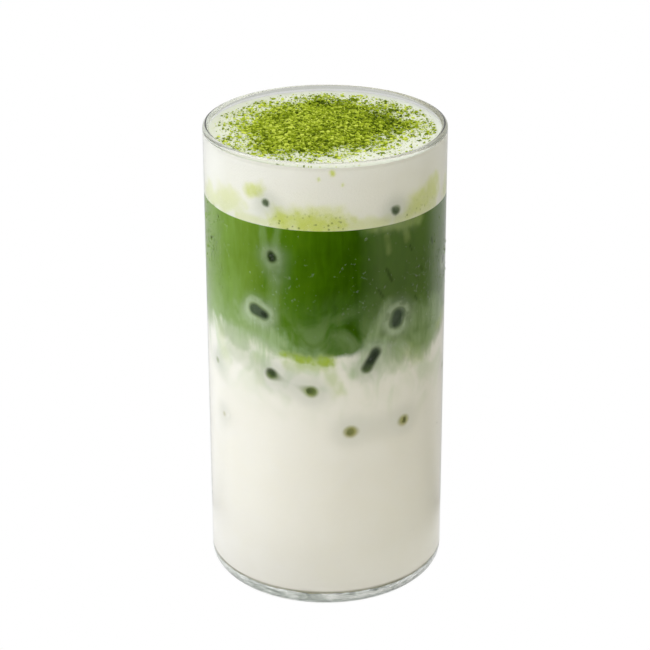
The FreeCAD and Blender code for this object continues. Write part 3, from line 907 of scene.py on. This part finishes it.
def drink_material(name):
    """Milk below and matcha above, blended across their boundary. Both pieces wear it, so no seam shows."""
    nodes = new_material(name)
    spot = nodes.place()
    cloud = nodes.noise(spot, 11 * MM, detail=5.0, distortion=1.1)
    streak = nodes.noise(nodes.place((1, 1, 0.14)), 1.7 * MM, detail=3.0, distortion=0.5)
    softness = nodes.value("softness")
    drift = nodes.math("ADD", nodes.sway(cloud, 2.4), nodes.sway(streak, 0.8))
    rise = nodes.math("ADD", nodes.value("rise"), nodes.times(drift, softness))
    share = nodes.span(nodes.math("DIVIDE", rise, softness), -0.8, 0.8)

    blotch = nodes.noise(nodes.place((1, 1, 0.6)), 7 * MM, detail=5.0, roughness=0.6)
    # the green's depth and greyness by bearing are partly painted light: paler towards the lit left, greyed
    # on the right by a painted reflection
    depth = nodes.math("ADD", nodes.value("depth"), nodes.sway(blotch, 0.5))
    depth = nodes.math("ADD", depth, nodes.sway(streak, 0.28))
    green = nodes.ramp(depth, *MATCHA)
    green = nodes.mix(nodes.times(nodes.value("grey"), 0.75), green, MATCHA_GREYED)
    murk = nodes.span(nodes.value("rise"), 2.0, 22.0, 0.5, 0.0)
    murk = nodes.times(murk, nodes.span(cloud, 0.3, 0.65))
    green = nodes.mix(murk, green, MURK)

    milk = nodes.mix(cloud, MILK, MILK_SHADE)
    wisps = nodes.noise(nodes.place((1, 1, 0.6)), 8 * MM, detail=4.0, distortion=1.4)
    mist = nodes.span(nodes.value("rise"), -26.0, 0.0, 0.0, 0.9)
    mist = nodes.times(mist, nodes.span(wisps, 0.42, 0.68))
    milk = nodes.mix(mist, milk, MIST)
    colour = nodes.mix(share, milk, green)
    colour = nodes.mix(nodes.value("haze"), colour, HAZE)
    ragged = nodes.noise(nodes.place((1, 1, 0.7)), 2.6 * MM, detail=4.0)
    bright = nodes.times(nodes.value("bright"), nodes.span(ragged, 0.34, 0.55, 0.6, 1.0))
    thin = nodes.mix(nodes.span(bright, 0.2, 0.8), BRIGHT_EDGE, BRIGHT)
    colour = nodes.mix(nodes.times(bright, 0.95), colour, thin)
    veil = nodes.times(nodes.value("veil"), nodes.span(streak, 0.3, 0.65, 0.5, 1.0))
    colour = nodes.mix(veil, colour, VEIL)
    height = nodes.value("height")
    # how strongly the pale ring round the ice, partly painted light that the ice scatters, shows: full in
    # the matcha, weaker higher up
    film_glow = nodes.span(nodes.value("rise"), -2.0, 4.0)
    film_glow = nodes.times(film_glow, nodes.span(height, 98.0, 110.0, 1.0, 0.3))
    colour = ice_colours(nodes, colour, film_glow)
    # painted shade: dark ends of the ice and dark spots under condensation drops
    colour = nodes.mix(nodes.value("shade_mark"), colour, DARK_SHADE_MARK)
    # painted shade along the milk's lowest edge
    colour = nodes.mix(nodes.span(height, *FOOT_SHADE_LINE_END, 0.9, 0.0), colour, FOOT_SHADE_LINE)
    # painted shade and sheen on the milk's underside
    sheen = nodes.noise(spot, 4 * MM, detail=3.0, distortion=1.5)
    underside = nodes.ramp(sheen, *UNDERSIDE_SHADE_AND_SHEEN)
    colour = nodes.mix(nodes.span(height, *UNDERSIDE_SHADE_AND_SHEEN_END, 1.0, 0.0), colour, underside)
    nodes.set(Base_Color=colour, Roughness=0.5, Specular_IOR_Level=0.0)
    return nodes.owner


CREAM = srgb(252, 252, 247)
CREAM_SHADE = srgb(248, 247, 237)
CREAM_TOP = srgb(240, 243, 231)
STAIN_EDGE = srgb(236, 240, 186)
STAIN = srgb(218, 228, 124)
BUBBLE = srgb(96, 120, 30)
BUBBLE_HEIGHT = (121.0, 127.0)  # mm, where the dark bubbles die away
DUST = srgb(180, 197, 84)
FOAM_SHADE_MARK = srgb(74, 96, 66)


def foam_material():
    """Cream-white foam with matcha stains at the wall, green dust under the powder, and fine bubbles."""
    nodes = new_material("foam_cream")
    spot = nodes.place()
    cloud = nodes.noise(spot, 8 * MM, detail=4.0)
    cream = nodes.mix(cloud, CREAM, CREAM_SHADE)
    ragged = nodes.noise(spot, 3.0 * MM, detail=4.0, roughness=0.6)
    stain = nodes.times(nodes.value("stain"), nodes.span(ragged, 0.2, 0.65, 0.75, 1.0))
    tint = nodes.mix(nodes.value("stain"), STAIN_EDGE, STAIN)
    colour = nodes.mix(stain, cream, tint)
    bubble = nodes.cells(spot, 1.3 * MM)
    low = nodes.span(nodes.value("height"), *BUBBLE_HEIGHT, 1.0, 0.0)
    dark = nodes.span(bubble, 0.18, 0.30, 1.0, 0.0)
    dark = nodes.times(dark, nodes.span(nodes.value("stain"), 0.5, 0.9))
    dark = nodes.times(dark, low)
    colour = nodes.mix(nodes.times(dark, 0.55), colour, BUBBLE)
    colour = nodes.mix(nodes.times(nodes.value("top"), 0.8), colour, CREAM_TOP)
    colour = nodes.mix(nodes.times(nodes.value("dust"), 0.85), colour, DUST)
    colour = ice_colours(nodes, colour, 0.0)
    # painted shade: dark ends of the ice
    colour = nodes.mix(nodes.value("shade_mark"), colour, FOAM_SHADE_MARK)
    pits = nodes.math("ADD", nodes.cells(spot, 0.7 * MM), nodes.cells(spot, 0.4 * MM))
    nodes.set(Base_Color=colour, Roughness=0.55, Specular_IOR_Level=0.0)
    nodes.set(Normal=nodes.bump(pits, 0.1 * MM, 0.35))
    return nodes.owner


POWDER = (  # from the damp grains to the palest
    (0.0, srgb(66, 84, 3)), (0.3, srgb(122, 142, 14)), (0.65, srgb(176, 194, 44)),
    (1.0, srgb(226, 238, 100)),
)


def powder_material(name):
    """Dry green tea powder: each grain has its own tone."""
    nodes = new_material(name)
    fine = nodes.noise(nodes.place(), 0.35 * MM, detail=2.0)
    tone = nodes.math("ADD", nodes.value("tone"), nodes.sway(fine, 0.5))
    nodes.set(Base_Color=nodes.ramp(tone, *POWDER), Roughness=0.95, Specular_IOR_Level=0.1)
    nodes.set(Normal=nodes.bump(fine, 0.1 * MM, 0.6))
    return nodes.owner


# ---------------- studio
VIEW_DISTANCE = 19.24 * OUTER  # from the tumbler's middle, at half its height
VIEW_ELEVATION = 24.665
VIEW_PITCH = 24.15
VIEW_ROLL = -0.17
VIEW_SHIFT = -0.0011
VIEW_LENS = 125.25
SENSOR = 36.0  # mm
BLACK = (0, 0, 0, 1)
# Light from around a direction: where the fall-off starts and ends as cosines, strength and colour.
LIGHT = (  # what lights the drink
    ((-1.0, 0.3, 0.0), 0.3, 1.0, 1.9, (0.94, 1.0, 1.25)),
    ((0.9, -0.4, 0.0), 0.3, 1.0, 1.6, (0.94, 1.0, 0.95)),
    ((0.0, 1.0, 0.0), 0.3, 1.0, 1.7, (1.04, 1.0, 0.84)),
    ((0.0, 0.0, 1.0), 0.5, 1.0, 0.32, (1.03, 1.0, 0.88)),
)
LIGHT_BASE = (0.2, 0.2, 0.15)
GLOW_LEFT = (3.25, 3.2, 3.1)  # light thrown up by the floor, bright on the left
GLOW_RIGHT = (0.7, 0.55, 0.45)
GLOW_REACH = 0.15
GLOW_START = 0.034  # it fades towards the foot
GLOW_FULL = 0.07
GLOW_FOOT = 0.5
GLOW_BACK = 0.6  # and towards the back
GLOW_BACK_REACH = 0.08
GLOW_UNDER = 1.0  # and is strong right under the glass
UNDER = 0.031
LOOK = (  # what the glass mirrors and shows
    ((-0.9, -0.35, 0.45), 0.1, 0.95, 0.7, (1.0, 1.0, 1.0)),
    ((0.0, 0.1, 1.0), 0.3, 1.0, 0.3, (1.0, 1.0, 1.0)),
)
LOOK_BASE = (0.85, 0.85, 0.85)


def make_camera():
    camera = bpy.data.objects.new("camera", bpy.data.cameras.new("camera"))
    camera.data.lens = VIEW_LENS
    camera.data.sensor_width = SENSOR
    camera.data.shift_x = VIEW_SHIFT
    camera.data.clip_start = 0.01
    rise = math.radians(VIEW_ELEVATION)
    camera.location = (0, -VIEW_DISTANCE * math.cos(rise), RIM / 2 + VIEW_DISTANCE * math.sin(rise))
    pitch = Matrix.Rotation(math.radians(90 - VIEW_PITCH), 3, "X")
    roll = Matrix.Rotation(math.radians(VIEW_ROLL), 3, "Z")
    camera.rotation_euler = (pitch @ roll).to_euler()
    bpy.context.scene.collection.objects.link(camera)
    bpy.context.scene.camera = camera


def tent(nodes, direction, base, lobes):
    """Soft light from all round, stronger towards some directions."""
    light = nodes.add("ShaderNodeBackground", {"Color": (*base, 1), "Strength": 1.0}).outputs[0]
    for towards, start, end, strength, colour in lobes:
        towards = Vector(towards).normalized()
        dot = nodes.add("ShaderNodeVectorMath", {0: direction, 1: towards}, operation="DOT_PRODUCT")
        lobe = nodes.span(dot.outputs["Value"], start, end, 0.0, strength)
        lamp = nodes.add("ShaderNodeBackground", {"Color": (*colour, 1), "Strength": lobe}).outputs[0]
        light = nodes.add("ShaderNodeAddShader", {0: light, 1: lamp}).outputs[0]
    return light


def make_world():
    """A soft light tent. What lights the drink is set apart from what the glass mirrors, and the camera
    itself sees plain white."""
    world = bpy.data.worlds.new("studio")
    bpy.context.scene.world = world
    nodes = Nodes(world)
    nodes.tree.nodes.clear()
    direction = nodes.add("ShaderNodeTexCoord").outputs["Generated"]
    path = nodes.add("ShaderNodeLightPath").outputs
    lights = nodes.math("MINIMUM", path["Diffuse Depth"], 1.0)
    look = tent(nodes, direction, LOOK_BASE, LOOK)
    light = tent(nodes, direction, LIGHT_BASE, LIGHT)
    unseen = nodes.add("ShaderNodeMixShader", {0: lights, 1: look, 2: light}).outputs[0]
    white = nodes.add("ShaderNodeBackground", {"Color": WHITE, "Strength": 1.0}).outputs[0]
    shown = nodes.add("ShaderNodeMixShader", {0: path["Is Camera Ray"], 1: unseen, 2: white}).outputs[0]
    nodes.add("ShaderNodeOutputWorld", {"Surface": shown})


# A dark flag lies on the floor, and shows only in mirrored light. It ends this far round to the back, as
# the sine of the direction from the glass.
FLAG = (0.17, 0.60)
MIRRORED = 0.55  # how bright the rest of the floor looks in the outside of the glass
THROUGH = 0.68  # and through the glass
FOOT = (0.045, 0.07)  # round the foot, out to here, both are bright
FOOT_MIRRORED = 0.8
FLOOR_HALF = 1.5  # half the floor's width


def make_floor():
    """A plain pale floor, white to the camera, that throws light up at the drink. Mirrored in the outside
    of the glass its front is dark, as a photographer's flag makes it."""
    corners = np.array([(-1, -1, 0), (1, -1, 0), (1, 1, 0), (-1, 1, 0)]) * FLOOR_HALF
    floor = new_object("floor", corners, [(0, 1, 2, 3)], smooth=False)
    nodes = new_material("floor_pale")
    place = nodes.add("ShaderNodeSeparateXYZ", {0: nodes.place()}).outputs
    path = nodes.add("ShaderNodeLightPath").outputs
    across = nodes.span(place["X"], -GLOW_REACH, GLOW_REACH)
    glow = nodes.mix(across, (*GLOW_LEFT, 1), (*GLOW_RIGHT, 1))
    away = nodes.add("ShaderNodeVectorMath", {0: nodes.place()}, operation="LENGTH").outputs["Value"]
    near = nodes.span(away, GLOW_START, GLOW_FULL, GLOW_FOOT, 1.0)
    near = nodes.math("MAXIMUM", near, nodes.span(away, UNDER, GLOW_START, GLOW_UNDER, 0.0))
    near = nodes.times(near, nodes.span(place["Y"], 0.0, GLOW_BACK_REACH, 1.0, GLOW_BACK))
    glow = nodes.mix(near, BLACK, glow)
    mirror = nodes.span(nodes.math("DIVIDE", place["Y"], away), *FLAG, 0.0, MIRRORED)
    mirror = nodes.math("MAXIMUM", mirror, nodes.span(away, *FOOT, FOOT_MIRRORED, 0.0))
    outside = nodes.math("LESS_THAN", path["Transmission Depth"], 1.0)
    through = nodes.span(away, *FOOT, 1.0, THROUGH)
    colour = nodes.mix(outside, nodes.grey(through), nodes.grey(mirror))
    colour = nodes.mix(nodes.math("MINIMUM", path["Diffuse Depth"], 1.0), colour, glow)
    colour = nodes.mix(path["Is Camera Ray"], colour, WHITE)
    glowing = nodes.add("ShaderNodeEmission", {"Color": colour, "Strength": 1.0}).outputs[0]
    nodes.plug(nodes.tree.nodes["Material Output"].inputs["Surface"], glowing)
    floor.data.materials.append(nodes.owner)


# ---------------- the scene
DUSTED = 1.3  # the finest dust reaches this much farther than the grains
SEED = 41


def write_top(foam):
    """Which of the foam's vertices lie on its open surface, and how dusty they are."""
    x, y, z = coordinates(foam).T
    top = (z > FOAM_TOP - 1 * MM) & (np.hypot(x, y) < FILL - 0.01 * MM)
    write_values(foam, "top", top)
    write_values(foam, "dust", top * np.minimum(DUSTED * powder_cover(x, y), 1))


def main():
    cubes = [Cube(*row) for row in ICE]
    glass, milk, matcha, foam = make_glass(), make_milk(), make_matcha(), make_foam()
    for piece in (milk, matcha, foam):
        write_marks(piece, cubes)
    write_top(foam)
    draw = np.random.default_rng(SEED)
    powder = [make_powder_core(), *(make_grains(*row, draw) for row in GRAINS)]
    for piece in (glass, milk, matcha, foam, make_ice(cubes), make_drops(draw), *powder):
        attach(piece, "root")
    make_camera()
    make_world()
    make_floor()
    bpy.context.scene.view_settings.view_transform = "Standard"


main()
